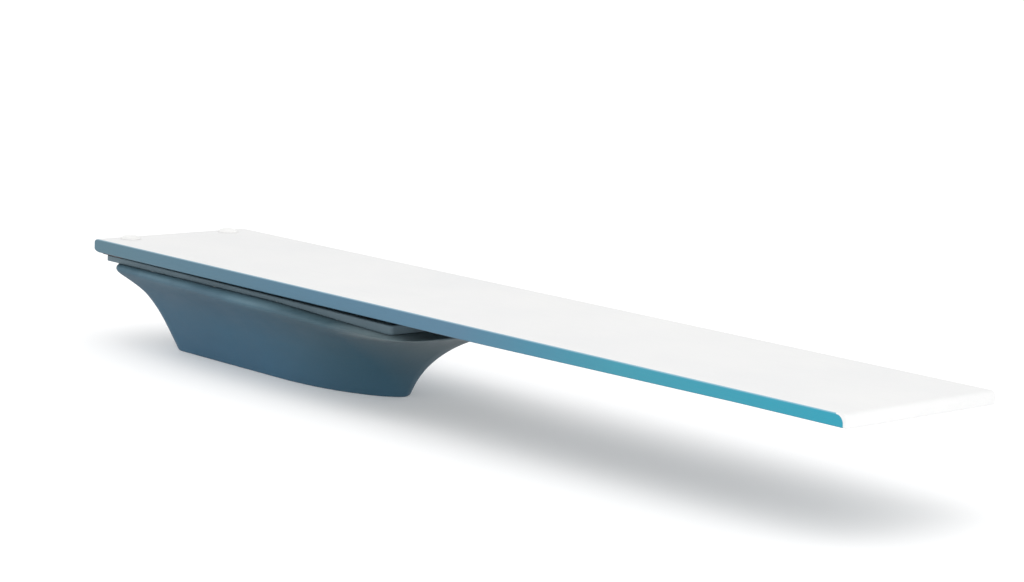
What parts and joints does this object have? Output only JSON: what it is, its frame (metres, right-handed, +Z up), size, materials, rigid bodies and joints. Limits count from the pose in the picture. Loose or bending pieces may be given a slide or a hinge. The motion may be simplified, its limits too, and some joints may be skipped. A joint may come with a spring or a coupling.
{
  "type": "diving board",
  "caption": "Flat springboard plank bolted at its rear over a low flared stand, resting on a rubber fulcrum, with a moulded shell around a welded steel frame.",
  "frame": {"origin": "on the deck plane, in the centre of the four deck anchor holes", "axes": "+X from the rear edge of the board towards its tip, +Y across the board, +Z up"},
  "size_m": [2.4384, 0.504, 0.269],
  "materials": {
    "core_wood": "laminated softwood, raw",
    "tread_white": "white acrylic skin with a fine sanded tread",
    "side_blue": "blue coloured laminate, satin",
    "underside": "pale laminate, satin",
    "cap_white": "moulded white plastic, satin",
    "bolt_steel": "stainless steel",
    "rubber_black": "matt black rubber",
    "rubber_brown": "matt dark brown rubber",
    "platform_moulding": "moulded, lightly textured grey-blue",
    "shell_moulding": "moulded, lightly textured slate blue",
    "frame_paint": "powder-coated dark grey steel"
  },
  "bodies": {
    "stand": {"rear_pad": "rubber_brown", "lower_bushings": "rubber_black", "fulcrum_pad": "rubber_black", "fulcrum_channel": "frame_paint", "platform": "platform_moulding", "platform_screws": "bolt_steel", "stand_shell": "shell_moulding", "clamp_screws": "bolt_steel", "shell_brackets": "frame_paint", "left_rail": "frame_paint", "right_rail": "frame_paint", "rear_beam": "frame_paint", "fulcrum_beam": "frame_paint", "rear_legs": "frame_paint", "front_legs": "frame_paint", "rear_foot_plate": "frame_paint", "front_foot_plate": "frame_paint", "rear_braces": "frame_paint", "front_braces": "frame_paint", "leg_ties": "frame_paint", "foot_gussets": "frame_paint"},
    "board": {"board_core": "core_wood", "tread_skin": "tread_white", "side_skin_left": "side_blue", "side_skin_right": "side_blue", "rear_skin": "side_blue", "bottom_skin": "underside", "mounting_bolts": "bolt_steel", "bolt_caps": "cap_white", "cup_washers": "bolt_steel", "rubber_washers": "rubber_black", "plate_washers": "bolt_steel", "lock_nuts": "bolt_steel"}
  },
  "joints": [
    {"name": "board_pitch", "type": "hinge", "parent": "stand", "child": "board", "pos_m": [-0.524, 0, 0.2225], "axis": [0, 1, 0], "range_deg": [-0.2, 0.45], "stiffness_Nm_per_rad": 250000, "springref_deg": -0.07, "deforming": ["fulcrum_pad", "rear_pad", "lower_bushings"]}
  ]
}
